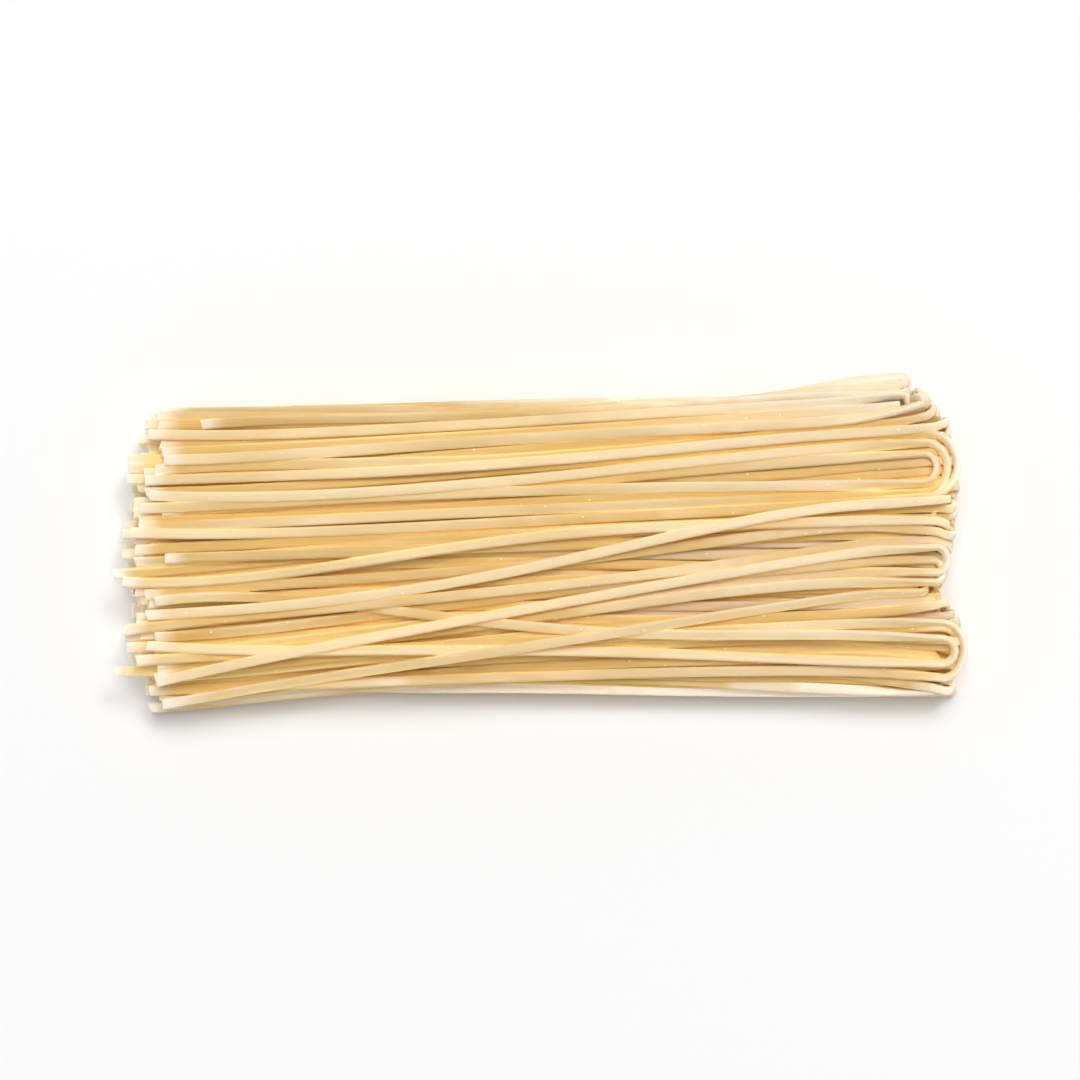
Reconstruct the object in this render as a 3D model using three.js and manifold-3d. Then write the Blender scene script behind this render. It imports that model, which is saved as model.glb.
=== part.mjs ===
// A bundle of dry linguine lying on its flat underside, as one solid out to its
// uneven outline. Millimetres, +Z up, the strands run along X. The cut ends are
// at -X, and the drying hooks (the U-bends where each strand hung over its rod)
// are at +X.
import * as THREE from "three";
import { mergeVertices } from "three/addons/utils/BufferGeometryUtils.js";
import Module from "manifold-3d";

// ---- driving dimensions -------------------------------------------------
const STRAND_W = 3.1; // a strand's width, lying flat
const STRAND_T = 1.55; // a strand's thickness
const PITCH = 3.55; // strand to strand round the outside of the bundle
const CUT_X = -127.5; // where the longest cut ends reach
const CUT_RAGGED = 12; // how unevenly the cut ends stop
const HOOK_X = 127.5; // where the longest hooks reach
const BODY_END_X = 117; // the straight part of the bundle ends about here

const HEIGHT_CUT = 21.6; // height of the heap at the cut ends
const HEIGHT_MID = 22.8; // in the middle
const HEIGHT_HOOK = 23.4; // at the hooks, which lie less close
const BULGE = 0.3; // share of the height at which the heap is widest
const FOOT_INSET = 6; // the flat underside is this much narrower on each side
const DOME_POWER = 2.5; // 2 is an ellipse, more is flatter on top

const BACK_CUT = 39.5; // the back edge (+Y) at the cut ends
const BACK_MID = 43; // and three quarters of the way along
const BACK_FLARE = 8.5; // how far it flares out at the hooks
const FRONT_MID = -45.8; // the front edge (-Y) at the waist
const FRONT_FLARE = -6.2; // how far it flares out at the cut ends
const FRONT_HOOK = -1.2; // and at the hooks

const RELIEF = 0.8; // depth of the groove between two strands
const WANDER = 0.6; // how far one strand strays from the smooth outline
const STATIONS = 13; // sections along the straight part
const END_RINGS = [0.66, 0.25]; // rings that make up the rounded hook end
const STUB_ROWS = 6; // rows of single cut ends that stick out
const STUB_GAP = 9.5; // from one to the next in a row
const STUB_ROOT = 8; // how far back each is rooted in the bundle

// ---- small helpers --------------------------------------------------------
const lerp = (a, b, t) => a + (b - a) * t;
const step01 = (a, b, x) => THREE.MathUtils.smoothstep(x, a, b);
// An even-looking but fixed scatter from 0 to 1.
const scatter = (i, j = 0) => {
  const s = Math.sin(i * 127.1 + j * 311.7 + 3.3) * 43758.5453;
  return s - Math.floor(s);
};
const signedPower = (v, p) => Math.sign(v) * Math.abs(v) ** p;

// ---- outline of the heap ---------------------------------------------------
const backEdge = (x) =>
  lerp(BACK_CUT, BACK_MID, step01(CUT_X, 62, x)) +
  BACK_FLARE * step01(52, 112, x);
const frontEdge = (x) =>
  FRONT_MID +
  FRONT_FLARE * (1 - step01(CUT_X, -45, x)) +
  FRONT_HOOK * step01(-20, 70, x);
const heightAt = (x) =>
  lerp(HEIGHT_CUT, HEIGHT_MID, step01(CUT_X, -50, x)) +
  (HEIGHT_HOOK - HEIGHT_MID) * step01(40, 110, x);

// A point of the dome-shaped section at x. t runs from 0 at the back foot, over
// the top, to 1 at the front foot. inset draws the point in towards the middle.
function domePoint(x, t, inset) {
  const back = backEdge(x),
    front = frontEdge(x),
    h = heightAt(x);
  const mid = (back + front) / 2,
    half = (back - front) / 2 - inset;
  const widest = BULGE * h;
  const low = Math.asin(0.86); // the lower quarter stops where the foot is flat
  const a = lerp(-low, Math.PI + low, t);
  const c = signedPower(Math.cos(a), 2 / DOME_POWER),
    s = signedPower(Math.sin(a), 2 / DOME_POWER);
  if (a >= 0 && a <= Math.PI)
    return [mid + half * c, widest + (h - inset - widest) * s];
  const footHalf = half - FOOT_INSET,
    k = Math.min(1, Math.abs(Math.sin(a)) / Math.sin(low));
  return [
    mid + Math.sign(Math.cos(a)) * lerp(half, footHalf, k * k),
    widest * (1 - k),
  ];
}

// Lengths along the dome from the back foot, at FINE + 1 even steps of t.
const FINE = 300;
function domeLengths(x) {
  const lengths = [0];
  for (let i = 0; i < FINE; i++) {
    const [y0, z0] = domePoint(x, i / FINE, 0),
      [y1, z1] = domePoint(x, (i + 1) / FINE, 0);
    lengths.push(lengths[i] + Math.hypot(y1 - y0, z1 - z0));
  }
  return lengths;
}
// The t that lies at a share of the way along, so that strands are evenly spaced.
function evenly(lengths, share) {
  const want = share * lengths[FINE];
  let i = 0;
  while (i < FINE - 1 && lengths[i + 1] < want) i++;
  return (i + (want - lengths[i]) / (lengths[i + 1] - lengths[i])) / FINE;
}

// ---- the grooved body --------------------------------------------------------
// How many strands show from foot to foot, from the length of the section's arc.
const SHOWN = Math.round(domeLengths(0)[FINE] / PITCH);
const AROUND = 2 * SHOWN + 1; // a crest and a groove for each strand
const UNDER = 7; // points across the flat underside

// Ring of one section: crests and grooves over the dome, then back across the
// flat underside. reach(k) gives the point's own x.
function ring(x, shrink, reach) {
  const points = [];
  const lengths = domeLengths(x);
  const midY = (backEdge(x) + frontEdge(x)) / 2,
    midZ = heightAt(x) * 0.42;
  const put = (k, y, z) =>
    points.push([
      reach(k),
      lerp(midY, y, shrink),
      shrink < 1 ? lerp(midZ, z, shrink) : z,
    ]);
  for (let k = 0; k < AROUND; k++) {
    const strand = k >> 1,
      crest = k % 2 === 1;
    const foot = k === 0 || k === AROUND - 1;
    const stray =
      WANDER *
      Math.sin(x * lerp(0.018, 0.045, scatter(strand, 1)) + 6.28 * scatter(strand, 2));
    const inset = foot ? 0 : crest ? WANDER + stray : WANDER + RELIEF + stray * 0.5;
    const [y, z] = domePoint(x, evenly(lengths, k / (AROUND - 1)), inset);
    put(k, y, foot ? 0 : Math.max(z, 0.35));
  }
  const first = domePoint(x, 1, 0),
    last = domePoint(x, 0, 0);
  for (let j = 1; j <= UNDER; j++)
    put(AROUND - 1, lerp(first[0], last[0], j / (UNDER + 1)), 0);
  return points;
}

const COUNT = AROUND + UNDER;
const rings = [];
// Cut ends: each strand stops at its own length, inside the end as well as round it.
const CUT_BODY = CUT_X + CUT_RAGGED; // behind this the strands lie side by side
const cutReach = (k, level) =>
  CUT_BODY - 3 * scatter((k >> 1) + 1, 11 + level) + (k % 2 ? 0 : 1.2);
rings.push(ring(CUT_BODY, 0.55, (k) => cutReach(k >> 3, 1) + 1));
rings.push(ring(CUT_BODY, 1, (k) => cutReach(k, 9)));
// Straight part.
for (let i = 1; i <= STATIONS; i++) {
  const x = lerp(CUT_BODY + 3, BODY_END_X - 12, i / STATIONS);
  rings.push(ring(x, 1, () => x));
}
// Hook end: drawn in and rounded, the hooks themselves are added below.
const hookReach = (k, base) => BODY_END_X + base + 3 * scatter(k >> 2, 40);
rings.push(ring(BODY_END_X, 0.95, (k) => hookReach(k, -6)));
END_RINGS.forEach((share, level) =>
  rings.push(ring(BODY_END_X, share, (k) => hookReach(k, -2 + level))),
);

const position = [],
  index = [];
rings.forEach((points) => points.forEach((p) => position.push(...p)));
for (let r = 0; r + 1 < rings.length; r++)
  for (let k = 0; k < COUNT; k++) {
    const a = r * COUNT + k,
      b = r * COUNT + ((k + 1) % COUNT),
      c = a + COUNT,
      d = b + COUNT;
    index.push(a, b, c, b, d, c);
  }
// A point in the middle closes each end.
for (const [r, flip] of [
  [0, false],
  [rings.length - 1, true],
]) {
  const mean = [0, 1, 2].map(
    (axis) => rings[r].reduce((sum, p) => sum + p[axis], 0) / COUNT,
  );
  const apex = position.length / 3;
  position.push(...mean);
  for (let k = 0; k < COUNT; k++) {
    const a = r * COUNT + k,
      b = r * COUNT + ((k + 1) % COUNT);
    index.push(...(flip ? [a, b, apex] : [b, a, apex]));
  }
}
const body = new THREE.BufferGeometry()
  .setAttribute("position", new THREE.Float32BufferAttribute(position, 3))
  .setIndex(index);

// ---- single strands that lie across the top, and hooks ------------------------
// The flattened oval section of a strand, as a six- or eight-sided outline.
function section(sides) {
  const outline = [];
  for (let i = 0; i < sides; i++) {
    const a = ((i + 0.5) / sides) * 2 * Math.PI;
    outline.push(
      new THREE.Vector2((STRAND_T / 2) * 1.08 * Math.cos(a), (STRAND_W / 2) * Math.sin(a)),
    );
  }
  return new THREE.Shape(outline);
}
const sweep = (points, steps, sides = 6) =>
  new THREE.ExtrudeGeometry(section(sides), {
    steps,
    bevelEnabled: false,
    extrudePath: new THREE.CatmullRomCurve3(points, false, "centripetal"),
  });

// Strands that cross the others on top: y at the cut end and at the hook end.
const CROSSING = [
  { from: -42, to: -1, cut: -113, hook: 112 },
  { from: -26, to: 10, cut: -116, hook: 96 },
  { from: -14, to: 11, cut: -121, hook: 104 },
  { from: 12, to: 29, cut: -118, hook: 108 },
  { from: 23, to: 36, cut: -114, hook: 105 },
  { from: 2, to: 4, cut: -120, hook: 110 },
];
const topAt = (x, y) => {
  // Height of the smooth dome over (x, y), found by halving.
  let lo = 0.1,
    hi = 0.9;
  for (let i = 0; i < 30; i++) {
    const m = (lo + hi) / 2;
    if (domePoint(x, m, 0)[0] > y) lo = m;
    else hi = m;
  }
  return domePoint(x, (lo + hi) / 2, 0)[1];
};
const crossing = CROSSING.map(({ from, to, cut, hook }, n) => {
  const points = [];
  const many = 5;
  for (let i = 0; i <= many; i++) {
    const x = lerp(cut, hook, i / many);
    const y = lerp(from, to, i / many) + 0.8 * Math.sin(i + n);
    points.push(new THREE.Vector3(x, y, topAt(x, y) - 0.35));
  }
  points[1].z = points[0].z; // starts level, so that the section lies flat
  return sweep(points, 6);
});

// Hooks: where the U-bend lies across the bundle, how far it reaches, its height as
// a share of the heap's, its half width, how far it is tipped over from lying flat,
// and the way it points.
const HOOKS = [
  { y: 44.5, reach: 111, level: 0.25, half: 5.5, tip: 20, turn: 12 },
  { y: 41, reach: 112, level: 0.48, half: 6, tip: -25, turn: 9 },
  { y: 37, reach: 117, level: 0.63, half: 4.6, tip: 50, turn: 6 },
  { y: 26, reach: 121, level: 0.8, half: 4.9, tip: 10 },
  { y: 25, reach: 125, level: 0.6, half: 7.8, tip: -16 },
  { y: 28, reach: 123, level: 0.29, half: 6.6, tip: 30 },
  { y: 8, reach: 123, level: 0.73, half: 6.4, tip: 35 },
  { y: 4, reach: 121.5, level: 0.38, half: 6.8, tip: -28 },
  { y: -7, reach: 121.5, level: 0.63, half: 5.8, tip: 40 },
  { y: -20, reach: 120, level: 0.8, half: 4.4, tip: 62 },
  { y: 17, reach: 119, level: 0.78, half: 4.6, tip: 68 },
  { y: -16, reach: 120, level: 0.25, half: 6.6, tip: 24 },
  { y: -32, reach: 125, level: 0.76, half: 4.8, tip: 8 },
  { y: -31, reach: 127.5, level: 0.55, half: 7.4, tip: -12 },
  { y: -37, reach: 124, level: 0.23, half: 5.2, tip: 34 },
];
const STRAIGHT = 26; // length of each leg that is drawn before the bend
const hooks = HOOKS.map(({ y, reach, level, half, tip, turn = 0 }) => {
  const points = [];
  const bend = reach - STRAND_W / 2 - half;
  for (const x of [bend - STRAIGHT, bend - STRAIGHT / 2])
    points.push(new THREE.Vector3(x, half, 0));
  for (let i = 0; i <= 6; i++) {
    const a = Math.PI / 2 - (i / 6) * Math.PI;
    points.push(new THREE.Vector3(bend + half * Math.cos(a), half * Math.sin(a), 0));
  }
  for (const x of [bend - STRAIGHT / 2, bend - STRAIGHT])
    points.push(new THREE.Vector3(x, -half, 0));
  return sweep(points, 12)
    .rotateX(THREE.MathUtils.degToRad(tip))
    .translate(-reach, 0, 0)
    .rotateZ(THREE.MathUtils.degToRad(turn))
    .translate(reach, y, level * HEIGHT_HOOK);
});

// Cut ends that stick out, in rows one above the other, each to its own length.
const stubs = [];
for (let row = 0; row < STUB_ROWS; row++) {
  const z = lerp(1.3, HEIGHT_CUT - 2.2, row / (STUB_ROWS - 1));
  // The row reaches as far as the dome is wide at this height.
  const wide = [];
  for (let i = 0; i <= FINE; i++) {
    const [y, top] = domePoint(CUT_BODY, i / FINE, 0);
    if (top >= z - 0.6) wide.push(y);
  }
  const back = Math.max(...wide) - STRAND_W,
    front = Math.min(...wide) + STRAND_W;
  const many = Math.floor((back - front) / STUB_GAP);
  for (let i = 0; i <= many; i++) {
    const n = row * 17 + i;
    const y = lerp(front, back, (i + 0.5 * (scatter(n, 5) - 0.5)) / many);
    const yIn = THREE.MathUtils.clamp(y, front, back);
    const tip = CUT_X + (CUT_RAGGED - 3.5) * scatter(n, 6) ** 1.3;
    stubs.push(
      sweep(
        [
          new THREE.Vector3(tip, yIn + 0.5 * (scatter(n, 7) - 0.5), z),
          new THREE.Vector3(CUT_BODY + STUB_ROOT, yIn, z),
        ],
        1,
      ),
    );
  }
}

// One strand lies alone along the front foot, out to the hooks.
const loneStrand = sweep(
  [
    new THREE.Vector3(45, -40.2, 0.55 * STRAND_T),
    new THREE.Vector3(80, -42.6, 0.55 * STRAND_T),
    new THREE.Vector3(105, -44.4, 0.55 * STRAND_T),
    new THREE.Vector3(124.8, -45.2, 0.55 * STRAND_T),
  ],
  3,
);

// ---- all joined into one solid ---------------------------------------------------
const wasm = await Module();
wasm.setup();
function solidOf(geometry) {
  const g = geometry.clone();
  for (const name of Object.keys(g.attributes))
    if (name !== "position") g.deleteAttribute(name);
  const merged = mergeVertices(g, 1e-3);
  return new wasm.Manifold(
    new wasm.Mesh({
      numProp: 3,
      vertProperties: new Float32Array(merged.attributes.position.array),
      triVerts: new Uint32Array(merged.index.array),
    }),
  );
}
let solid = solidOf(body);
for (const g of [...crossing, ...hooks, ...stubs, loneStrand]) solid = solid.add(solidOf(g));

const made = solid.getMesh();
const vertices = new Float32Array(made.numVert * 3);
for (let i = 0; i < made.numVert; i++)
  vertices.set(made.vertProperties.subarray(i * made.numProp, i * made.numProp + 3), i * 3);
const geometry = new THREE.BufferGeometry()
  .setAttribute("position", new THREE.BufferAttribute(vertices, 3))
  .setIndex(new THREE.BufferAttribute(new Uint32Array(made.triVerts), 1));
// The origin is under the middle of the bundle, on the surface it lies on.
geometry.computeBoundingBox();
const box = geometry.boundingBox;
geometry.translate(-(box.min.x + box.max.x) / 2, -(box.min.y + box.max.y) / 2, -box.min.z);
geometry.computeVertexNormals();

const pasta = new THREE.MeshStandardMaterial({
  name: "dry_pasta",
  color: new THREE.Color(0.9, 0.76, 0.53),
  roughness: 0.55,
  metalness: 0,
  flatShading: true,
});
const bundle = new THREE.Mesh(geometry, pasta);
bundle.name = "linguine_bundle";

const part = new THREE.Group();
part.add(bundle);

export default part;
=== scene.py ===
import math

import bpy
import numpy as np
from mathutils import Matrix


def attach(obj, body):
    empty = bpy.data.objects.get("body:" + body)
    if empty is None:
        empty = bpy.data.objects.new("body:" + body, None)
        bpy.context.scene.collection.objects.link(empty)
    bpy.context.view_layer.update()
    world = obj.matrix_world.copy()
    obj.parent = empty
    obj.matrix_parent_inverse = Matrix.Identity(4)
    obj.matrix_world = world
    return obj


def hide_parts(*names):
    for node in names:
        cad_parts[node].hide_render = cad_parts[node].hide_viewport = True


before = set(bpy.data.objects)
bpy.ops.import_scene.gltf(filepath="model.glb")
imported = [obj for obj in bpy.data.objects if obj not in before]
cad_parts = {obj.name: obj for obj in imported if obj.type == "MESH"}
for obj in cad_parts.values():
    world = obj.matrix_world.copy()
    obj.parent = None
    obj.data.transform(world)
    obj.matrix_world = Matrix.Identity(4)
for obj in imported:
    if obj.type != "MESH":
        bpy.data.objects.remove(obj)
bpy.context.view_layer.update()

# A loose bundle of dry linguine. Each strand is a hairpin: it hung over a rod to
# dry, so it has two legs, a hook at +X, and two cut ends at -X. The strands are
# laid in place, then settled under their own weight and pushed apart. That leaves
# some overlaps, mostly inside the heap and in the hooks, which are counted below.
# Each strand becomes a tube with a flattened oval section.
# Lengths are in millimetres up to the meshes, which are in metres.

rng = np.random.default_rng(20)

STRAND_W = 3.1  # width, lying flat
STRAND_T = 1.55  # thickness
FLAT = STRAND_W / STRAND_T  # heights are stretched by this, so that ovals are round
R = STRAND_W / 2

# ---- the view ---------------------------------------------------------------
PX_PER_MM = 3.345  # at the plane z = PLANE_Z, in a frame 1080 wide
FRAME_PX = 1080
PLANE_Z = 10.5
CAM_DIST = 800.0
CAM_TILT = math.radians(2.5)  # from straight down, towards the front
CAM_AIM = np.array([-0.3, -0.15, PLANE_Z])
CAM_POS = CAM_AIM + CAM_DIST * np.array([0.0, -math.sin(CAM_TILT), math.cos(CAM_TILT)])

# ---- outline of the heap ------------------------------------------------------
HEAP_H = 22.4  # height of the strands under the top ones
BULGE = 0.32
DOME_POWER = 2.5
FOOT_INSET = 5.0


def step01(a, b, x):
    t = np.clip((np.asarray(x, float) - a) / (b - a), 0, 1)
    return t * t * (3 - 2 * t)


def back_edge(x, flare=8.5):
    return 39.5 + 3.5 * step01(-127.5, 62, x) + flare * step01(52, 112, x)


def front_edge(x):
    return -45.8 - 6.2 * (1 - step01(-127.5, -45, x)) - 1.2 * step01(-20, 70, x)


# How far the hooks reach at each place across the bundle.
REACH_Y = (-47.0, -44.2, -42.5, -39.0, -34.5, -30.0, -27.0, -21.7, -16.0, -10.6, -6.0, -1.6, 18.0, 26.8, 35.7, 39.3, 42.0, 44.5, 51.0)
REACH_X = (125.8, 125.6, 123.2, 124.7, 126.8, 127.4, 127.2, 123.8, 119.5, 120.8, 122.3, 123.4, 125.5, 124.4, 122.3, 118.5, 117.2, 113.6, 112.4)


def reach(y):
    return np.interp(y, REACH_Y, REACH_X)


# How far out the cut ends come at each place across the bundle.
TIP_Y = (-51.6, -44.0, -41.0, -37.0, -30.0, -14.5, -9.7, 5.2, 13.3, 23.8, 32.0, 36.0, 40.0)
TIP_X = (-117.0, -118.5, -119.0, -123.0, -123.5, -123.5, -124.5, -124.5, -123.8, -123.0, -119.0, -117.8, -115.0)


def furthest_cut(y):
    return np.interp(y, TIP_Y, TIP_X)


# ---- strands that show -----------------------------------------------------------
# Where each strand on the outside lies, as seen from above: y at these places along x.
PLACES = np.array([-112.4, -72.0, -27.2, 17.6, 62.5, 110.3])
# name: (height of its middle, or at its two ends, or None to lie on what is under it,
# cut end, y at PLACES)
SHOWN = {
    # low along the back and the front
    "g1": (0.78, -116.5, (32.5, 34.5, 36.7, 38.8, 42.4, 48.0)),
    "g2": (0.78, -117.0, (28.5, 30.8, 33.1, 35.3, 38.4, 42.6)),
    "b1": ((3.9, 2.3), -118.0, (32.1, 34.5, 37.5, 40.5, 44.4, 51.0)),
    "b2": ((6.0, 2.9), -118.0, (36.6, 38.1, 39.6, 41.1, 42.9, 45.2)),
    "b3": ((4.5, 3.9), -112.0, (39.0, 39.9, 40.5, 41.5, 43.1, 45.7)),
    "f1": (1.0, -117.5, (-50.1, -45.3, -44.1, -45.4, -45.4, -45.0)),
    "f2": (5.2, -112.0, (-46.2, -43.8, -42.9, -42.6, -42.6, -42.6)),
    # half hidden under the top ones
    "u1": (None, -114.0, (34.1, 34.5, 35.7, 37.8, 40.5, 42.9)),
    "u2": (None, -113.0, (28.1, 29.1, 32.1, 34.5, 37.5, 41.7)),
    "u3": (None, -117.5, (19.9, 21.4, 25.3, 28.6, 32.4, 36.6)),
    "u4": (None, -120.0, (-2.7, -0.6, 2.1, 4.3, 7.0, 9.4)),
    "u5": (None, -126.5, (-9.4, -5.7, -1.3, 1.9, 4.0, 6.1)),
    "u6": (None, -126.8, (-39.2, -37.2, -34.5, -31.8, -30.0, -27.7)),
    "u7": (None, -114.0, (-41.1, -37.8, -33.3, -30.3, -28.3, -26.5)),
    "u8": (None, -112.0, (-48.0, -43.8, -39.6, -37.2, -35.7, -34.5)),
    "u9": (None, -113.0, (-39.6, -36.0, -31.5, -27.1, -23.8, -21.8)),
    "v1": (None, -119.0, (5.8, 7.0, 9.9, 12.0, 13.8, 14.5)),
    "v2": (None, -114.0, (-34.5, -30.0, -24.1, -18.1, -12.0, -10.0)),
    "v3": (None, -120.0, (-6.4, -3.6, 0.1, 3.1, 5.2, 7.0)),
    "v4": (None, -112.0, (8.5, 10.9, 14.2, 18.1, 22.1, 25.7)),
    "v5": (None, -114.0, (-29.0, -25.4, -19.3, -14.2, -9.7, -4.9)),
    "v6": (None, -111.0, (-5.7, -4.3, -2.7, -1.2, 0.4, 2.1)),
    "v7": (None, -113.0, (-37.1, -32.6, -26.7, -20.7, -14.8, -12.9)),
    # on top
    "w1": (None, -101.0, (33.3, 35.9, 36.9, 38.4, 41.6, 43.0)),
    "w2": (None, -116.3, (31.4, 31.8, 34.1, 36.9, 39.5, 42.5)),
    "w3": (None, -112.4, (26.2, 28.0, 30.9, 33.5, 36.6, 40.5)),
    "w4": (None, -114.0, (21.1, 22.6, 23.6, 25.9, 30.5, 35.7)),
    "w5": (None, -117.0, (14.2, 16.0, 19.3, 23.6, 27.5, 30.8)),
    "w6": (None, -119.0, (4.0, 5.5, 8.2, 9.4, 11.8, 13.9)),
    "w7": (None, -117.0, (-16.0, -13.0, -9.6, -5.1, 0.7, 5.1)),
    "w8": (None, -119.0, (-35.7, -33.9, -31.5, -29.4, -26.6, -24.7)),
    "w9": (None, -116.0, (-45.0, -43.2, -41.7, -40.1, -39.3, -39.8)),
    "x1": (None, -114.0, (-18.1, -17.8, -23.8, -27.1, -28.7, -29.3)),
    "x2": (None, -111.5, (23.8, 25.6, 28.7, 31.7, 33.9, 37.7)),
    "x3": (None, -117.0, (17.9, 19.3, 21.5, 25.1, 29.3, 32.9)),
    "x4": (None, -118.4, (9.6, 11.8, 13.6, 15.4, 15.8, 16.6)),
    "x5": (None, -121.4, (1.8, 2.2, 4.2, 6.6, 9.0, 11.8)),
    "x6": (None, -123.5, (-13.0, -9.3, -2.7, 2.7, 4.6, 6.4)),
    "x7": (None, -116.0, (-32.1, -33.2, -33.0, -33.5, -35.1, -36.6)),
    "x8": (None, -122.9, (-25.7, -21.4, -16.9, -12.4, -6.4, 1.0)),
    "y1": (None, -115.5, (13.0, 13.3, 15.8, 20.5, 24.8, 29.0)),
    "y2": (None, -116.3, (-22.4, -19.3, -13.0, -3.9, 5.8, 10.9)),
    "y3": (None, -112.4, (-49.2, -42.3, -35.6, -28.6, -21.4, -15.1)),
    "y4": (None, -113.0, (-42.0, -33.3, -25.3, -16.6, -9.1, -1.8)),
}
# Strands whose two legs both show, and how far their hooks reach.
HAIRPINS = [
    ("g1", "g2", 110.0),
    ("b1", "b2", 112.2),
    ("f1", "f2", 125.6),
    ("v4", "x4", 119.5),
    ("y1", "w6", 123.0),
    ("w5", "x5", 125.8),
    ("x1", "x7", 124.0),
    ("w8", "w9", 128.0),
    ("y4", "v2", 121.8),
    ("v5", "v7", 120.2),
]

# ---- nodes along a strand -------------------------------------------------------
# A leg has a node at each station of x, so that neighbours meet node to node, then a
# few up to the bend. The bend has its own.
XS = np.arange(-126.0, 98.1, 4.0)
NS, NE, NA = len(XS), 5, 13
N = 2 * NS + 2 * NE + NA
LEG_A = slice(0, NS)
LEG_B = slice(N - NS, N)

paths = {name: np.polynomial.Polynomial.fit(PLACES, row[2], 4) for name, row in SHOWN.items()}


def seen_y(name, x, z):
    """True y of a shown strand at x and height z, from where it is seen on the plane."""
    k = (CAM_POS[2] - PLANE_Z) / (CAM_POS[2] - z)
    app = CAM_POS[0] + (x - CAM_POS[0]) * k
    return CAM_POS[1] + (paths[name](np.clip(app, -128, 122)) - CAM_POS[1]) / k


# ---- legs underneath ----------------------------------------------------------------
def half_width(z, half, h):
    wide = BULGE * h
    if z < wide:
        return half - FOOT_INSET * (1 - z / wide) ** 2
    return half * max(0.0, 1 - ((z - wide) / (h - wide)) ** DOME_POWER) ** (1 / DOME_POWER)


legs = []  # dicts with y and z at the stations
ROW = 1.515
row = 0
while 0.86 + row * ROW < HEAP_H - 0.43:
    z = STRAND_T / 2 + row * ROW
    half = half_width(z, 44.0, HEAP_H) - R - (2.5 if 1.3 < z < 7.75 else 0.0)
    count = int(2 * half / (STRAND_W * 1.075))
    if count > 1:
        for y0 in np.linspace(-half, half, count - row % 2):
            u = (y0 + rng.normal(0, 0.25)) / 44.0
            wave = rng.uniform(0.2, 0.9) * np.sin(XS * rng.uniform(0.02, 0.05) + rng.uniform(0, 6.28))
            back, front = back_edge(XS, 2.5), front_edge(XS)  # only a few low strands flare out more
            mid, wide = (back + front) / 2, (back - front) / 2
            slope = rng.normal(0, 0.013)
            y = mid + u * (wide - 0.3) + slope * XS + wave
            zz = z + rng.normal(0, 0.13) + 0.22 * np.sin(XS * rng.uniform(0.015, 0.04) + rng.uniform(0, 6.28))
            # a few reach the furthest, the others stop short of that
            short = rng.random()
            short = 6.0 * short if short < 0.14 else 1.5 + 8.5 * short
            legs.append({"y": y, "z": np.maximum(zz, 0.86), "cut": float(furthest_cut(y[0])) + short, "name": None})
    row += 1

for name, (z, cut, _) in SHOWN.items():
    if z is not None:
        z_line = np.interp(XS, (XS[0], XS[-1]), np.broadcast_to(z, 2))
        legs.append({"y": seen_y(name, XS, z_line), "z": z_line, "cut": cut, "name": name})


def settle_height(y_new, legs_now):
    """Lowest height at each station at which an oval at y_new clears all laid legs."""
    ys = np.array([l["y"] for l in legs_now])
    zs = np.array([l["z"] for l in legs_now])
    d = (ys - y_new) / STRAND_W
    lift = STRAND_T * np.sqrt(np.clip(1 - d * d, 0, 1))
    return np.where(np.abs(d) < 1, zs + lift, STRAND_T / 2).max(0)


# A stiff strand lies on the highest things under it: its height is smoothed from above.
def stiff_over(z, rounds=60):
    out = z.copy()
    for _ in range(rounds):
        mean = out.copy()
        mean[1:-1] = (out[:-2] + out[2:]) / 2
        mean[0], mean[-1] = 2 * out[1] - out[2], 2 * out[-2] - out[-3]
        out = np.maximum(out + 0.5 * (mean - out), z - 0.3)
    return out


for name, (z, cut, _) in SHOWN.items():
    if z is None:
        z_line = np.full(NS, 20.7)
        for _ in range(2):
            y = seen_y(name, XS, z_line)
            z_line = stiff_over(settle_height(y, legs))
        legs.append({"y": seen_y(name, XS, z_line), "z": z_line, "cut": cut, "name": name})

# ---- pair the legs into hairpins -------------------------------------------------------
index = {l["name"]: i for i, l in enumerate(legs) if l["name"]}
pairs, free = [], set(range(len(legs)))
for a, b, tip in HAIRPINS:
    pairs.append((index[a], index[b], tip))
    free -= {index[a], index[b]}
end = np.array([[l["y"][-1], l["z"][-1]] for l in legs])
order = [i for i in range(len(legs)) if legs[i]["name"]] + sorted(
    (i for i in range(len(legs)) if not legs[i]["name"]), key=lambda i: -end[i, 1] + rng.normal(0, 3)
)
for i in order:
    if i not in free:
        continue
    free.discard(i)
    others = [j for j in free if not legs[j]["name"]]
    if not others:
        break
    away = end[others] - end[i]
    dist = np.hypot(away[:, 0], away[:, 1])
    want = rng.uniform(8.5, 12.5)
    cost = np.abs(dist - want) + (0.35 * np.abs(away[:, 0]) if legs[i]["name"] else 0.15 * np.abs(away[:, 0]))
    if end[i, 0] > 39:
        cost = cost + 2.0 * np.clip(end[others, 0] - 37, 0, None)  # the back ones turn inwards
    j = others[int(np.argmin(cost))]
    free.discard(j)
    middle = (end[i, 0] + end[j, 0]) / 2
    back_off = 0.3 + (2.5 if max(end[i, 1], end[j, 1]) > HEAP_H - 5 else 11.0) * rng.random() ** 1.4
    pairs.append((i, j, float(reach(middle)) - back_off))

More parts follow.
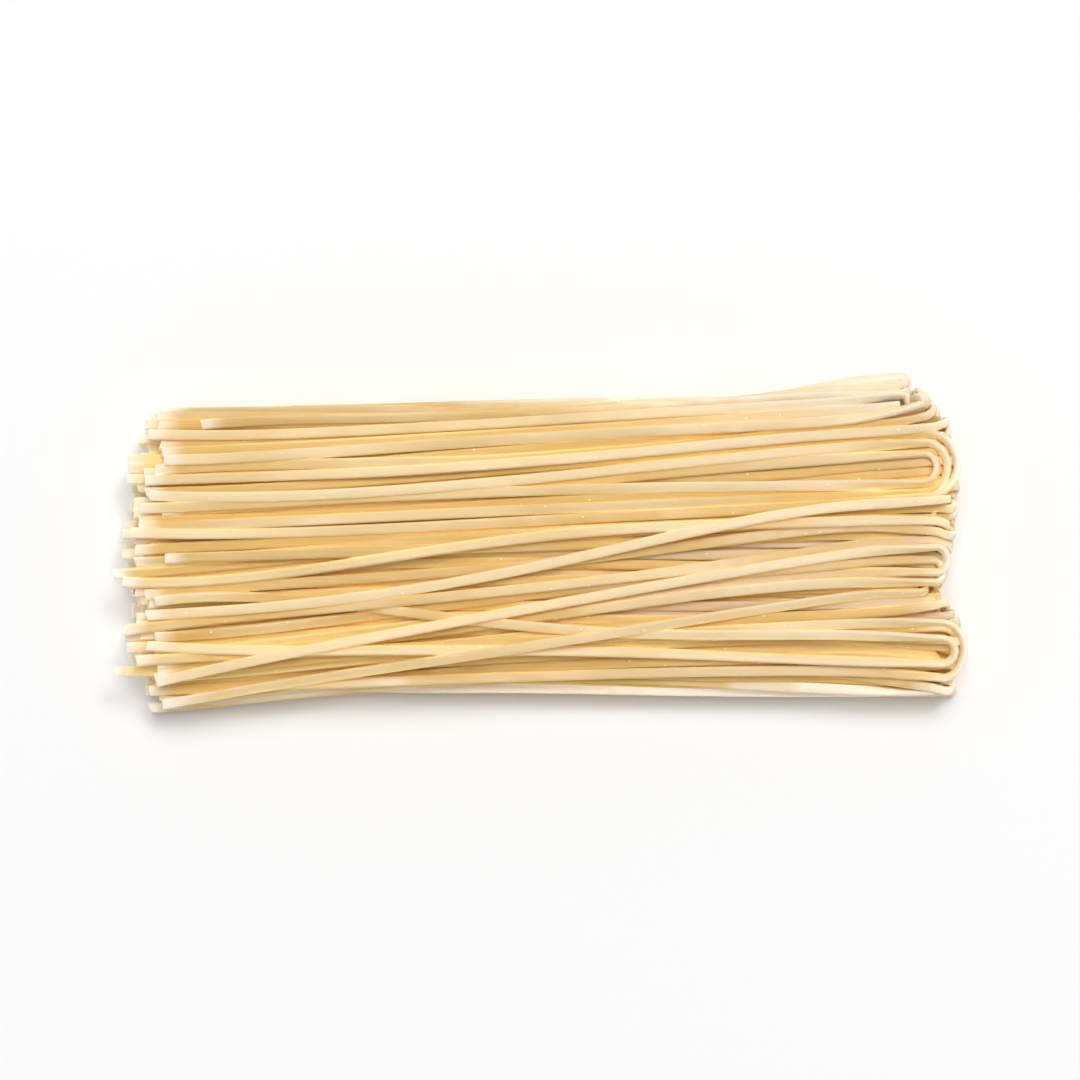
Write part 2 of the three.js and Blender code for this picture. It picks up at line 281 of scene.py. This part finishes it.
H = len(pairs)
P = np.zeros((H, N, 3))
cuts = np.zeros((H, 2))
names = []
for h, (i, j, tip) in enumerate(pairs):
    a, b = legs[i], legs[j]
    cuts[h] = a["cut"], b["cut"]
    names.append((a["name"], b["name"]))
    pa, pb = np.array([a["y"][-1], a["z"][-1]]), np.array([b["y"][-1], b["z"][-1]])
    gap = np.hypot(*(pb - pa))
    deep = np.clip(gap / 2, 3.2, 8.5)
    start = max(tip - R - deep, XS[-1] + 2.0)
    deep = max(tip - R - start, 2.6)

    def run(leg):
        xs = XS[-1] + (start - XS[-1]) * (np.arange(NE) + 1) / NE
        sy = (leg["y"][-1] - leg["y"][-3]) / 8 * 0.6
        sz = (leg["z"][-1] - leg["z"][-3]) / 8 * 0.3
        return np.stack([xs, leg["y"][-1] + sy * (xs - XS[-1]), leg["z"][-1] + sz * (xs - XS[-1])], 1)

    ra, rb = run(a), run(b)
    mid, half = (ra[-1] + rb[-1]) / 2, (ra[-1] - rb[-1]) / 2
    ang = np.pi * (np.arange(NA) + 1) / (NA + 1)
    bend = mid + np.cos(ang)[:, None] * half + np.sin(ang)[:, None] * np.array([deep, 0, 0])
    P[h, LEG_A] = np.stack([XS, a["y"], a["z"]], 1)
    P[h, NS : NS + NE] = ra
    P[h, NS + NE : NS + NE + NA] = bend
    P[h, NS + NE + NA : N - NS] = rb[::-1]
    P[h, LEG_B] = np.stack([XS, b["y"], b["z"]], 1)[::-1]
P[..., 2] *= FLAT

# ---- settle ---------------------------------------------------------------------------
on_station = np.zeros(N, bool)
on_station[LEG_A] = on_station[LEG_B] = True
x_fixed = P[..., 0].copy()
rest = P.copy()
second = np.zeros((N - 2, N))
for k in range(N - 2):
    second[k, k : k + 3] = 1, -2, 1
stiff = second.T @ second


def stiffness(amount):
    return np.linalg.inv(np.eye(N) + amount * stiff)


OFFSETS = [(0, 0, 0)] + [
    (i, j, k) for i in (-1, 0, 1) for j in (-1, 0, 1) for k in (-1, 0, 1) if (i, j, k) > (0, 0, 0)
]


def near_pairs(points, radius):
    """Index pairs of points of different strands closer than radius, by cells."""
    cell = np.floor(points / radius).astype(np.int64) + 1000
    key = (cell[:, 0] * 4096 + cell[:, 1]) * 4096 + cell[:, 2]
    order = np.argsort(key, kind="stable")
    keys = key[order]
    found = []
    for off in OFFSETS:
        want = key + (off[0] * 4096 + off[1]) * 4096 + off[2]
        lo, hi = np.searchsorted(keys, want, "left"), np.searchsorted(keys, want, "right")
        n = hi - lo
        i = np.repeat(np.arange(len(points)), n)
        j = order[np.repeat(lo, n) + np.arange(n.sum()) - np.repeat(np.cumsum(n) - n, n)]
        if off == (0, 0, 0):
            keep = i < j
            i, j = i[keep], j[keep]
        close = ((points[i] - points[j]) ** 2).sum(1) < radius * radius
        i, j = i[close], j[close]
        apart = (i // N != j // N) | (np.abs(i - j) > 8)
        found.append((i[apart], j[apart]))
    return np.concatenate([f[0] for f in found]), np.concatenate([f[1] for f in found])


# Only the low strands at the back corner flare out.
flare = np.full((H, N), 2.5)
for h, two in enumerate(names):
    wide_legs = [bool(name) and name[0] in "bg" for name in two]
    flare[h] = 8.5 if all(wide_legs) else 4.5 if any(wide_legs) else 2.5
    for leg, is_wide in zip((LEG_A, LEG_B), wide_legs):
        flare[h, leg] = 8.5 if is_wide else 2.5

held = [(h, leg, name) for h, two in enumerate(names) for leg, name in zip((LEG_A, LEG_B), two) if name]


def settle(P, rounds, amount, fall, pin):
    M = stiffness(amount)
    flat = P.reshape(-1, 3)
    for it in range(rounds):
        if it % 10 == 0:
            i, j = near_pairs(flat, 2 * R * 1.25)
        P[..., 2] -= fall
        for _ in range(2):
            d = flat[i] - flat[j]
            dist = np.sqrt((d * d).sum(1)) + 1e-9
            push = np.clip(2 * R - dist, 0, None)
            hit = push > 0
            a, b, move = i[hit], j[hit], d[hit] * (push[hit] / dist[hit] * 0.5)[:, None]
            n = np.bincount(a, minlength=len(flat)) + np.bincount(b, minlength=len(flat))
            share = 1.0 / np.maximum(1.0, n * 0.55)
            for axis in range(3):
                flat[:, axis] += share * (
                    np.bincount(a, move[:, axis], len(flat)) - np.bincount(b, move[:, axis], len(flat))
                )
        if pin:
            for h, leg, name in held:
                x, z = P[h, leg, 0], P[h, leg, 2] / FLAT
                P[h, leg, 1] += pin * (seen_y(name, x, z) - P[h, leg, 1])
        P[:] = rest + np.einsum("ab,hbc->hac", M, P - rest)
        P[:, on_station, 0] = x_fixed[:, on_station]
        y_back, y_front = back_edge(P[..., 0], flare) - R, front_edge(P[..., 0]) + R
        P[..., 1] += 0.5 * (np.clip(P[..., 1], y_front, y_back) - P[..., 1])
        over = np.clip(P[..., 0] - (reach(P[..., 1]) - R), 0, None)
        P[:, ~on_station, 0] -= 0.5 * over[:, ~on_station]
        P[..., 2] = np.maximum(P[..., 2], R)
    return P


settle(P, 90, 25.0, 0.06, 0.35)
settle(P, 70, 8.0, 0.03, 0.3)
settle(P, 50, 2.5, 0.01, 0.2)
settle(P, 80, 1.0, 0.0, 0.1)
settle(P, 100, 0.5, 0.0, 0.06)
i, j = near_pairs(P.reshape(-1, 3), 2 * R)
if len(i):
    gaps = 2 * R - np.sqrt(((P.reshape(-1, 3)[i] - P.reshape(-1, 3)[j]) ** 2).sum(1))
    print("strands", H, "touching pairs of points", len(i), "overlap over 0.3", (gaps > 0.3).sum(), "over 0.8", (gaps > 0.8).sum(), "worst", round(gaps.max(), 2))
P[..., 2] /= FLAT
print("settled", P.reshape(-1, 3).min(0).round(1), P.reshape(-1, 3).max(0).round(1))
print("top along x", [(x, round(float(P[(P[..., 0] > x - 10) & (P[..., 0] < x + 10)][:, 2].max()), 1)) for x in (-110, -70, -30, 10, 50, 90, 115)])

# ---- how deep each strand lies under the top of the heap ------------------------------------
# A map from above of the highest strand at each millimetre, then its mean over a few.
dense = np.concatenate([P[:, :-1] + t * (P[:, 1:] - P[:, :-1]) for t in (0.0, 0.5)], 1).reshape(-1, 3)
GRID_LOW, GRID_N = np.array([-135.0, -60.0]), (270, 120)
top_map = np.full(GRID_N, -1.0)
for dx in (-1.0, 0.0, 1.0):
    for dy in (-1.4, -0.7, 0.0, 0.7, 1.4):
        cell = np.floor(dense[:, :2] + (dx, dy) - GRID_LOW).astype(int)
        np.maximum.at(top_map, (cell[:, 0], cell[:, 1]), dense[:, 2] + STRAND_T / 2 * math.sqrt(1 - (dy / 1.6) ** 2))


def spread_out(grid, size):
    """Sum over size cells each way."""
    for axis in (0, 1):
        padded = np.pad(grid, [(size + 1, size) if a == axis else (0, 0) for a in (0, 1)])
        total = np.cumsum(padded, axis)
        n = grid.shape[axis]
        grid = np.take(total, np.arange(2 * size + 1, n + 2 * size + 1), axis) - np.take(total, np.arange(n), axis)
    return grid


covered = (top_map > 0).astype(float)
top_mean = spread_out(top_map * covered, 4) / np.maximum(spread_out(covered, 4), 1e-6)


inside = spread_out(covered, 6) / 13.0**2  # 1 well inside the outline, about a half at it


def depth_of(points):
    """How far under the top a point lies, and how far inside the outline."""
    cell = np.clip(np.floor(points[:, :2] - GRID_LOW).astype(int), 0, np.array(GRID_N) - 1)
    return top_mean[cell[:, 0], cell[:, 1]] - points[:, 2], inside[cell[:, 0], cell[:, 1]]


# ---- tubes --------------------------------------------------------------------------------
# A quarter of the section, from its side to its flat face, as shares of the half sizes.
QUARTER = [(1.0, 0.0), (0.97, 0.54), (0.86, 0.84), (0.58, 0.965)]
section = []
for turn in range(4):
    for a, b in QUARTER if turn % 2 == 0 else [(0.0, 1.0)] + [q for q in QUARTER[:0:-1]]:
        section.append(((a, b), (-a, b), (-a, -b), (a, -b))[turn])
oval = np.array(section) * (STRAND_W / 2, STRAND_T / 2)
SIDES = len(oval)
around = 2 * np.pi * np.arange(SIDES) / SIDES


def finer(points, lo, hi):
    """Adds a point halfway between each two of the bend, on a smooth curve."""
    out = []
    for k in range(len(points)):
        out.append(points[k])
        if lo <= k < hi and 1 <= k < len(points) - 2:
            out.append((-points[k - 1] + 9 * points[k] + 9 * points[k + 1] - points[k + 2]) / 16)
    return np.array(out)


def trimmed(line, cut):
    """A leg's nodes from its own cut end on."""
    keep = line[:, 0] > cut + 0.8
    k = int(np.argmax(keep))
    if k == 0:
        return line
    t = (cut - line[k - 1, 0]) / (line[k, 0] - line[k - 1, 0])
    return np.vstack([line[k - 1] + t * (line[k] - line[k - 1]), line[k:]])


def unit(v):
    return v / np.linalg.norm(v, axis=-1, keepdims=True)


def tube(h):
    """Vertices (rings of SIDES), each ring's distance along, and its leg."""
    full = P[h]
    first = trimmed(full[: NS + NE], cuts[h, 0])
    last = trimmed(full[N - NS - NE :][::-1], cuts[h, 1])[::-1]
    line = np.vstack([first, full[NS + NE : NS + NE + NA], last])
    line = finer(line, len(first) - 2, len(first) + NA + 1)
    # short steps at the cut ends give them a crisp edge
    t0, t1 = unit(line[1] - line[0]), unit(line[-2] - line[-1])
    line = np.vstack([line[0], line[0] + 0.12 * t0, line[0] + 0.9 * t0, line[1:-1], line[-1] + 0.9 * t1, line[-1] + 0.12 * t1, line[-1]])
    s = np.concatenate([[0], np.cumsum(np.linalg.norm(np.diff(line, axis=0), axis=1))])
    tan = np.gradient(line, s, axis=0)
    tan = unit(tan)
    # carry the wide side along without twist, then turn it so that both legs lie flat
    wide = np.zeros_like(line)
    w = np.array([0, 1.0, 0])
    for k in range(len(line)):
        w = w - np.dot(w, tan[k]) * tan[k]
        w = w / np.linalg.norm(w)
        wide[k] = w
    thick = np.cross(tan, wide)
    flat = unit(np.cross(np.array([0, 0, 1.0]), tan[-1]))
    turn = math.atan2(np.dot(flat, thick[-1]), np.dot(flat, wide[-1]))
    turn = (turn + math.pi / 2) % math.pi - math.pi / 2
    apex = int(np.argmax(line[:, 0]))
    bend_s = s[apex]
    roll = turn * step01(bend_s - 55, bend_s + 55, s)
    # it bends the thin way, as it did over the rod, so part of it stands on edge there
    lies = np.cross([1.0, 0, 0], line[max(apex - 12, 0)] - line[min(apex + 12, len(line) - 1)])
    lies = lies / np.linalg.norm(lies)
    on_edge = math.atan2(np.dot(lies, thick[apex]), np.dot(lies, wide[apex])) - turn / 2
    on_edge = (on_edge + math.pi / 2) % math.pi - math.pi / 2
    from_bend = np.abs(s - bend_s)
    lean = 0.15 if (names[h][0] or "_")[0] in "bg" else 0.6  # the low ones at the back lie flat
    roll = roll + lean * on_edge * (1 - step01(4, 38, from_bend))
    own = np.random.default_rng(1000 + h)
    lifted = step01(0.82, 2.3, line[:, 2])  # what lies on the table lies flat
    for leg_side in (-1, 1):
        part = lifted * step01(0, 40, leg_side * (s - bend_s))
        roll = roll + part * (own.normal(0, 0.16) + 0.14 * np.sin(s * own.uniform(0.015, 0.05) + own.uniform(0, 6.28)))
    c, sn = np.cos(roll)[:, None], np.sin(roll)[:, None]
    wide, thick = wide * c + thick * sn, thick * c - wide * sn
    grow = 1 + own.normal(0, 0.02) + 0.012 * np.sin(s * 0.11 + own.uniform(0, 6.28))
    grow[[0, -1]] *= 0.93
    narrow = 1 - 0.2 * (1 - step01(6, 24, from_bend))
    rings = line[:, None] + grow[:, None, None] * (
        oval[None, :, :1] * (narrow[:, None] * wide)[:, None] + oval[None, :, 1:] * thick[:, None]
    )
    # cut a little out of square
    for k, sign in ((0, 1), (-1, -1)):
        tilt = own.normal(0, 0.12, 2)
        off = oval @ tilt
        rings[k] += off[:, None] * tan[k]
        rings[k + sign] += off[:, None] * tan[k]
    rings[..., 2] = np.maximum(rings[..., 2], 0.02)
    leg = (s > bend_s).astype(float)
    along = np.where(s > bend_s, s[-1] - s, s)
    return rings, along, leg, s


# Painted light and shade by layer: the strands on top and at the front are made paler, the low ones and the low ones
# at the back darker.
LAYER_LIGHT_LIFT = {"y": 2.4, "x": 1.5, "w": 0.8, "v": 0.0, "u": -0.2, "_": -0.5, "f": 1.5, "b": -0.8, "g": -0.8}


def build_piece(name, members):
    verts, faces, smooth = [], [], []
    uv, tint, along_all, off_cut, deep, outer_pale_light, grey_shade, flank_glow, soft, back, corner_light, hook_light = [], [], [], [], [], [], [], [], [], [], [], []
    base = 0
    strips = len(members)
    for n, h in enumerate(members):
        rings, along, leg, s = tube(h)
        K = len(rings)
        verts.append(rings.reshape(-1, 3))
        verts.append(rings[[0, -1]].mean(1))
        k, q = np.meshgrid(np.arange(K - 1), np.arange(SIDES), indexing="ij")
        k, q = k.ravel(), q.ravel()
        q2 = (q + 1) % SIDES
        quad = np.stack([k * SIDES + q, k * SIDES + q2, (k + 1) * SIDES + q2, (k + 1) * SIDES + q], 1)
        faces.append((base + quad)[:, ::-1])
        smooth.append(np.ones(len(quad), bool))
        lo, hi = (n + 0.06) / strips, (n + 0.94) / strips
        u0, u1 = 0.02 + 0.96 * s[k] / s[-1], 0.02 + 0.96 * s[k + 1] / s[-1]
        v0, v1 = lo + (hi - lo) * q / SIDES, lo + (hi - lo) * (q + 1) / SIDES
        quad_uv = np.stack([np.stack([u0, v0], 1), np.stack([u0, v1], 1), np.stack([u1, v1], 1), np.stack([u1, v0], 1)], 1)
        uv.append(quad_uv[:, ::-1].reshape(-1, 2))
        for end_k, centre, sign, u_mid in ((0, K * SIDES, 1, 0.009), (K - 1, K * SIDES + 1, -1, 0.991)):
            ring = end_k * SIDES + np.arange(SIDES)
            nxt = end_k * SIDES + (np.arange(SIDES) + 1) % SIDES
            tri = np.stack([np.full(SIDES, centre), ring, nxt], 1)
            if sign < 0:
                tri = tri[:, ::-1]
            faces.append(base + tri)
            smooth.append(np.zeros(SIDES, bool))
            mid_v, rad_v = (lo + hi) / 2, (hi - lo) * 0.45
            rim = np.stack([u_mid + 0.007 * np.cos(around), mid_v + rad_v * np.sin(around)], 1)
            tri_uv = np.stack([np.broadcast_to([u_mid, mid_v], (SIDES, 2)), rim, np.roll(rim, -1, 0)], 1)
            uv.append((tri_uv if sign > 0 else tri_uv[:, ::-1]).reshape(-1, 2))
        own = np.random.default_rng(5000 + h)
        # each strand a random tone of its own, plus the painted light and shade of its layer
        shade = own.normal(-0.3, 0.9)
        first, second_leg = (shade + LAYER_LIGHT_LIFT.get((two or "_")[0], 0.0) for two in names[h])
        per = np.where(leg > 0, second_leg + own.normal(0, 0.25), first)
        tint += [np.repeat(per, SIDES), per[[0, -1]]]
        along_all += [np.repeat(along + 500.0 * h + 250.0 * leg, SIDES), along[[0, -1]] + 500.0 * h]
        mid = rings.mean(1)
        under, within = depth_of(mid)
        # painted shade: a grey cast on some strands lying under others in the lower middle
        grey_shade_amount = own.random() * step01(0.4, 1.6, under) * step01(-32, -22, mid[:, 1]) * (1 - step01(-2, 10, mid[:, 1])) * step01(-45, 25, mid[:, 0])
        grey_shade += [np.repeat(grey_shade_amount, SIDES), np.zeros(2)]
        up = (rings[..., 2] - mid[:, None, 2]) / (STRAND_T / 2)
        # painted light: what faces other strands, not the room, is made a bright gold, for light that comes through
        # the strands; less on the back slope
        between = (0.2 + 0.8 * step01(0.58, 0.9, within)) * (1 - 0.75 * step01(27, 38, mid[:, 1]))
        flank_glow += [((1 - step01(0.3, 0.95, up)) * between[:, None]).ravel(), np.zeros(2)]
        # painted shade and light by how far under the top a strand lies, less on the back slope
        deep += [np.repeat(under * step01(0.6, 0.95, within) * (1 - 0.5 * step01(29, 40, mid[:, 1])), SIDES), np.zeros(2)]
        # painted light: the outside of the heap, the hooks and the back corner are made palest, most on their top
        # faces, where light washes them out
        outer = 1 - step01(0.55, 0.95, within)
        at_back = step01(-8, 14, mid[:, 1]) * (1 - step01(-70, 30, mid[:, 0]))
        at_corner = step01(45, 100, mid[:, 0]) * step01(34, 41, mid[:, 1])
        on_top = step01(0.0, 0.9, up)
        corner_light += [(at_corner[:, None] * (0.3 + 0.7 * on_top)).ravel(), np.zeros(2)]
        hook_light_amount = step01(106, 123, mid[:, 0]) * (1 - 0.8 * step01(1.0, 3.5, under))
        hook_light += [(hook_light_amount[:, None] * (0.5 + 0.5 * on_top)).ravel(), np.zeros(2)]
        shown = 1 - 0.55 * step01(2.5, 7.0, under)
        outer_pale_light += [((outer * (1 - at_back) * shown)[:, None] * (0.15 + 0.85 * on_top)).ravel(), np.zeros(2)]
        # painted shade: the top faces along the back edge are made darker, against the light from behind
        back += [((outer * at_back)[:, None] * on_top).ravel(), np.zeros(2)]
        soft += [np.repeat(step01(-30, 110, mid[:, 0]), SIDES), np.zeros(2)]
        dist = np.minimum(s, s[-1] - s)
        off_cut += [np.repeat(dist, SIDES), np.zeros(2)]
        base += K * SIDES + 2
    mesh = bpy.data.meshes.new(name)
    verts = np.concatenate(verts) / 1000.0
    polys = [tuple(int(v) for v in f) for block in faces for f in block]
    mesh.from_pydata([tuple(v) for v in verts], [], polys)
    mesh.polygons.foreach_set("use_smooth", np.concatenate(smooth))
    layer = mesh.uv_layers.new(name="OFBake")
    layer.data.foreach_set("uv", np.concatenate(uv).astype(np.float32).ravel())
    for label, values in (("tint", tint), ("along", along_all), ("off_cut", off_cut), ("deep", deep), ("outer_pale_light", outer_pale_light), ("grey_shade", grey_shade), ("flank_glow", flank_glow), ("soft", soft), ("back", back), ("corner_light", corner_light), ("hook_light", hook_light)):
        mesh.attributes.new(label, "FLOAT", "POINT").data.foreach_set("value", np.concatenate(values).astype(np.float32))
    mesh.update()
    piece = bpy.data.objects.new(name, mesh)
    bpy.context.scene.collection.objects.link(piece)
    return piece


# ---- dried dough ----------------------------------------------------------------------------
TONE_LOW = (0.62, 0.395, 0.116)
TONE_HIGH = (0.86, 0.67, 0.39)
TONE_DEEP_SHADE = (0.69, 0.437, 0.124)
TONE_DEEP_GLOW = (0.98, 0.78, 0.325)
TONE_GREY_SHADE = (0.68, 0.52, 0.36)
TONE_PALE_LIGHT = (0.96, 0.87, 0.73)
TONE_SOFT = (0.84, 0.69, 0.50)
TONE_BACK_SHADE = (0.44, 0.335, 0.165)
TONE_CORNER_LIGHT = (0.80, 0.71, 0.55)
TONE_HOOK_LIGHT = (0.96, 0.79, 0.53)
TONE_STARCH = (0.98, 0.93, 0.80)


def dough():
    mat = bpy.data.materials.new("dry_pasta")
    mat.use_nodes = True
    nodes, links = mat.node_tree.nodes, mat.node_tree.links
    shader = nodes["Principled BSDF"]
    shader.subsurface_method = "BURLEY"
    shader.inputs["Roughness"].default_value = 0.5
    shader.inputs["IOR"].default_value = 1.45
    shader.inputs["Specular IOR Level"].default_value = 0.35
    shader.inputs["Subsurface Weight"].default_value = 1.0
    shader.inputs["Subsurface Radius"].default_value = (1.0, 1.0, 1.0)
    shader.inputs["Subsurface Scale"].default_value = 0.0015

    def node(kind, **sets):
        made = nodes.new(kind)
        for key, value in sets.items():
            setattr(made, key, value)
        return made

    def ranged(value, low, high, to_low=0.0, to_high=1.0):
        made = node("ShaderNodeMapRange", interpolation_type="SMOOTHSTEP")
        for key, number in (("From Min", low), ("From Max", high), ("To Min", to_low), ("To Max", to_high)):
            made.inputs[key].default_value = number
        links.new(value, made.inputs["Value"])
        return made.outputs["Result"]

    def mixed(factor, one, two):
        made = node("ShaderNodeMix", data_type="RGBA")
        links.new(factor, made.inputs["Factor"])
        for socket, value in (("A", one), ("B", two)):
            target = [i for i in made.inputs if i.name == socket and i.type == "RGBA"][0]
            if isinstance(value, tuple):
                target.default_value = value + (1.0,)
            else:
                links.new(value, target)
        return [o for o in made.outputs if o.type == "RGBA"][0]

    def stored(name):
        return node("ShaderNodeAttribute", attribute_name=name).outputs["Fac"]

    place = node("ShaderNodeTexCoord").outputs["Object"]

    def stretched(along, across):
        made = node("ShaderNodeMapping")
        made.inputs["Scale"].default_value = (along, across, across)
        links.new(place, made.inputs["Vector"])
        return made.outputs["Vector"]

    def noise(vector, detail=2.0, roughness=0.5):
        made = node("ShaderNodeTexNoise")
        made.inputs["Scale"].default_value = 1.0
        made.inputs["Detail"].default_value = detail
        made.inputs["Roughness"].default_value = roughness
        links.new(vector, made.inputs["Vector"])
        return made.outputs["Fac"]

    # each strand its own tone, changing a little along it
    drift = node("ShaderNodeTexNoise", noise_dimensions="1D")
    drift.inputs["Scale"].default_value = 0.028
    drift.inputs["Detail"].default_value = 1.0
    links.new(stored("along"), drift.inputs["W"])
    tone = node("ShaderNodeMath", operation="MULTIPLY_ADD")
    links.new(drift.outputs["Fac"], tone.inputs[0])
    tone.inputs[1].default_value = 3.0
    links.new(stored("tint"), tone.inputs[2])
    colour = mixed(ranged(tone.outputs["Value"], -0.6, 4.2), TONE_LOW, TONE_HIGH)
    colour = mixed(ranged(stored("soft"), 0.0, 1.0, 0.0, 0.45), colour, TONE_SOFT)
    # painted light and shade: deeper in the heap, where light has passed through other strands, the colour is made a
    # darker gold, and deepest a bright gold
    colour = mixed(ranged(stored("deep"), 0.0, 1.6), colour, TONE_DEEP_SHADE)
    colour = mixed(ranged(stored("deep"), 1.8, 4.3, 0.0, 0.65), colour, TONE_DEEP_GLOW)
    # painted light on the sides that face other strands
    colour = mixed(ranged(stored("flank_glow"), 0.0, 1.0, 0.0, 0.8), colour, TONE_DEEP_GLOW)
    # painted shade: grey on some lower strands
    colour = mixed(ranged(stored("grey_shade"), 0.25, 1.1), colour, TONE_GREY_SHADE)
    # fine lines along the strand, from the die
    lines = noise(stretched(35.0, 1500.0), 2.0, 0.55)
    colour = mixed(ranged(lines, 0.40, 0.75, 0.0, 0.22), colour, TONE_HIGH)
    # painted shade on the back edge, against the light from behind
    colour = mixed(ranged(stored("back"), 0.0, 1.0, 0.0, 0.55), colour, TONE_BACK_SHADE)
    # painted light: the hooks are made paler, most on the top faces of the upper strands
    colour = mixed(ranged(stored("hook_light"), 0.0, 1.0, 0.0, 0.75), colour, TONE_HOOK_LIGHT)
    # painted light: the outside is made paler, and so are the ends, where light washes them out
    colour = mixed(ranged(stored("outer_pale_light"), 0.0, 0.9, 0.0, 0.9), colour, TONE_PALE_LIGHT)
    # painted light: the back corner is made paler, most on its top faces
    colour = mixed(ranged(stored("corner_light"), 0.0, 1.0, 0.0, 0.8), colour, TONE_CORNER_LIGHT)
    # painted light: the last 8 mm at each end made paler
    colour = mixed(ranged(stored("off_cut"), 8.0, 0.0, 0.0, 0.75), colour, TONE_PALE_LIGHT)
    colour = mixed(ranged(stored("off_cut"), 0.35, 0.1, 0.0, 0.6), colour, TONE_STARCH)
    # specks of dry starch
    cells = node("ShaderNodeTexVoronoi")
    cells.inputs["Scale"].default_value = 1.0
    links.new(stretched(140.0, 260.0), cells.inputs["Vector"])
    speck = ranged(cells.outputs["Distance"], 0.075, 0.035, 0.0, 0.75)
    colour = mixed(speck, colour, TONE_STARCH)
    links.new(colour, shader.inputs["Base Color"])
    links.new(ranged(lines, 0.3, 0.7, 0.42, 0.60), shader.inputs["Roughness"])
    fine = node("ShaderNodeBump")
    fine.inputs["Strength"].default_value = 0.35
    fine.inputs["Distance"].default_value = 0.00008
    links.new(lines, fine.inputs["Height"])
    links.new(fine.outputs["Normal"], shader.inputs["Normal"])
    return mat


mat = dough()

level = P[..., 2].mean(1)
by_level = np.argsort(level, kind="stable")
PIECES = 5
pieces = []
for n, members in enumerate(np.array_split(by_level, PIECES)):
    piece = build_piece("strands_%d" % (n + 1), [int(h) for h in members])
    piece.data.materials.append(mat)
    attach(piece, "root")
    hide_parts("linguine_bundle")
    pieces.append(piece)
    print(piece.name, sum(len(p.vertices) - 2 for p in piece.data.polygons), "triangles")

# ---- floor, light, camera ----------------------------------------------------------------------
floor_mesh = bpy.data.meshes.new("floor")
floor_mesh.from_pydata([(-2.2, -2.2, 0), (2.2, -2.2, 0), (2.2, 2.2, 0), (-2.2, 2.2, 0)], [], [(0, 1, 2, 3)])
floor = bpy.data.objects.new("floor", floor_mesh)
floor.location.z = -0.0001
bpy.context.scene.collection.objects.link(floor)
floor_mat = bpy.data.materials.new("floor")
floor_mat.use_nodes = True
floor_shader = floor_mat.node_tree.nodes["Principled BSDF"]
floor_shader.inputs["Base Color"].default_value = (0.93, 0.93, 0.93, 1)
floor_shader.inputs["Roughness"].default_value = 0.9
floor_shader.inputs["Specular IOR Level"].default_value = 0.1
floor_mesh.materials.append(floor_mat)

world = bpy.data.worlds.new("studio")
bpy.context.scene.world = world
world.use_nodes = True
# light from all round, brightest near the horizon
sky, sky_links = world.node_tree.nodes, world.node_tree.links
towards = sky.new("ShaderNodeTexCoord")
split = sky.new("ShaderNodeSeparateXYZ")
sky_links.new(towards.outputs["Generated"], split.inputs["Vector"])
level_of = sky.new("ShaderNodeMapRange")
level_of.interpolation_type = "SMOOTHSTEP"
for key, number in (("From Min", 0.10), ("From Max", 0.60), ("To Min", 0.90), ("To Max", 0.22)):
    level_of.inputs[key].default_value = number
sky_links.new(split.outputs["Z"], level_of.inputs["Value"])
sky_links.new(level_of.outputs["Result"], sky["Background"].inputs["Strength"])
sky["Background"].inputs["Color"].default_value = (1, 1, 1, 1)


def area(name, place, aim, size, power, colour=(1, 1, 1)):
    data = bpy.data.lights.new(name, "AREA")
    data.shape = "DISK"
    data.size, data.energy, data.color = size, power, colour
    lamp = bpy.data.objects.new(name, data)
    lamp.location = place
    direction = np.array(aim) - np.array(place)
    from mathutils import Vector
    lamp.rotation_euler = Vector(direction).to_track_quat("-Z", "Y").to_euler()
    bpy.context.scene.collection.objects.link(lamp)
    return lamp


area("key", (1.00, 1.45, 3.10), (0, 0, 0), 0.9, 20.0)
area("over", (0.30, 1.45, 3.70), (0, 0, 0), 3.0, 105.0)
area("fill", (-0.30, -1.20, 3.50), (0, 0, 0), 1.8, 11.0)

cam_data = bpy.data.cameras.new("camera")
cam_data.sensor_width = 36.0
cam_data.lens = 36.0 * PX_PER_MM * CAM_DIST / FRAME_PX
cam = bpy.data.objects.new("camera", cam_data)
cam.location = tuple(CAM_POS / 1000.0)
cam.rotation_euler = (CAM_TILT, 0, 0)
bpy.context.scene.collection.objects.link(cam)
bpy.context.scene.camera = cam
bpy.context.scene.view_settings.view_transform = "Standard"
bpy.context.scene.cycles.max_bounces = 12
bpy.context.scene.cycles.diffuse_bounces = 12
